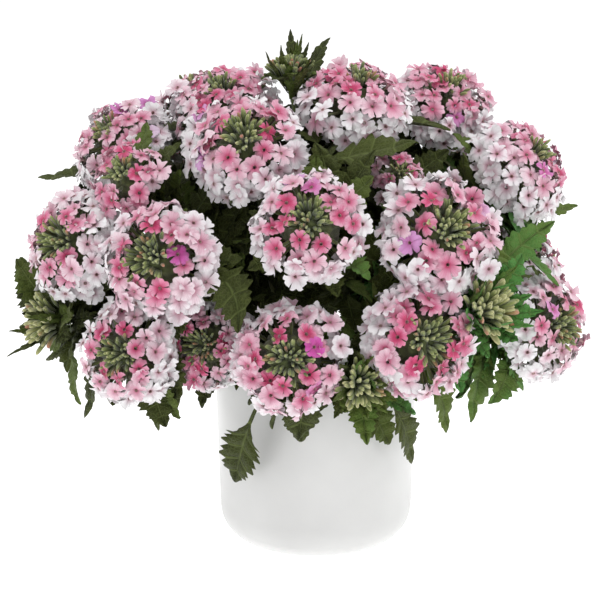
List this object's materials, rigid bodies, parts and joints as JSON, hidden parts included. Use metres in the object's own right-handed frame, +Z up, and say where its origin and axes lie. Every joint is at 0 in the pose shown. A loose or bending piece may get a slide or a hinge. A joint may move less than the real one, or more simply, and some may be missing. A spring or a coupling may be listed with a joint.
{
  "type": "potted verbena",
  "caption": "Bushy bedding plant in a plain round white pot: domed heads of five-petalled white and pink florets round green bud tufts, over coarse-toothed leaves.",
  "frame": {"origin": "middle of the flat under the pot, on the surface that the pot stands on", "axes": "+Z up; -Y towards the fullest side of the plant, its front; +X to the right seen from the front"},
  "size_m": [0.3271, 0.2929, 0.3111],
  "materials": {
    "pot": "smooth satin white glaze",
    "soil": "matt moist potting mix",
    "green": "hairy matt leaf, lighter stems and buds",
    "white_petals": "soft matt petal, white with a faint pink flush",
    "pink_petals": "soft matt petal, pink with a darker throat"
  },
  "bodies": {
    "root": {"pot": "pot", "soil": "soil", "head_01_outer_florets": "white_petals", "head_01_inner_florets": "pink_petals", "head_02_outer_florets": "white_petals", "head_02_inner_florets": "pink_petals", "head_03_outer_florets": "white_petals", "head_03_inner_florets": "pink_petals", "head_04_outer_florets": "white_petals", "head_04_inner_florets": "pink_petals", "head_05_outer_florets": "white_petals", "head_05_inner_florets": "pink_petals", "head_06_florets": "pink_petals", "head_07_outer_florets": "white_petals", "head_07_inner_florets": "pink_petals", "head_08_outer_florets": "white_petals", "head_08_inner_florets": "pink_petals", "head_09_outer_florets": "white_petals", "head_09_inner_florets": "pink_petals", "head_10_outer_florets": "white_petals", "head_10_inner_florets": "pink_petals", "head_11_florets": "pink_petals", "head_12_outer_florets": "white_petals", "head_12_inner_florets": "pink_petals", "head_13_outer_florets": "white_petals", "head_13_inner_florets": "pink_petals", "head_14_outer_florets": "white_petals", "head_14_inner_florets": "pink_petals", "head_15_outer_florets": "white_petals", "head_15_inner_florets": "pink_petals", "head_16_outer_florets": "white_petals", "head_16_inner_florets": "pink_petals", "head_17_outer_florets": "white_petals", "head_17_inner_florets": "pink_petals", "head_18_outer_florets": "white_petals", "head_18_inner_florets": "pink_petals", "head_19_outer_florets": "white_petals", "head_19_inner_florets": "pink_petals", "head_20_outer_florets": "white_petals", "head_20_inner_florets": "pink_petals", "head_21_outer_florets": "white_petals", "head_21_inner_florets": "pink_petals", "head_22_outer_florets": "white_petals", "head_22_inner_florets": "pink_petals", "head_23_outer_florets": "white_petals", "head_23_inner_florets": "pink_petals", "head_24_outer_florets": "white_petals", "head_24_inner_florets": "pink_petals", "head_25_outer_florets": "white_petals", "head_25_inner_florets": "pink_petals", "head_26_outer_florets": "white_petals", "head_26_inner_florets": "pink_petals", "head_27_outer_florets": "white_petals", "head_27_inner_florets": "pink_petals", "leafy_stem_front_left": "green", "leafy_stem_front_right": "green", "leafy_stem_left": "green", "leafy_stem_right": "green", "leafy_stem_back_right": "green", "leafy_stem_back_left": "green"}
  },
  "joints": []
}
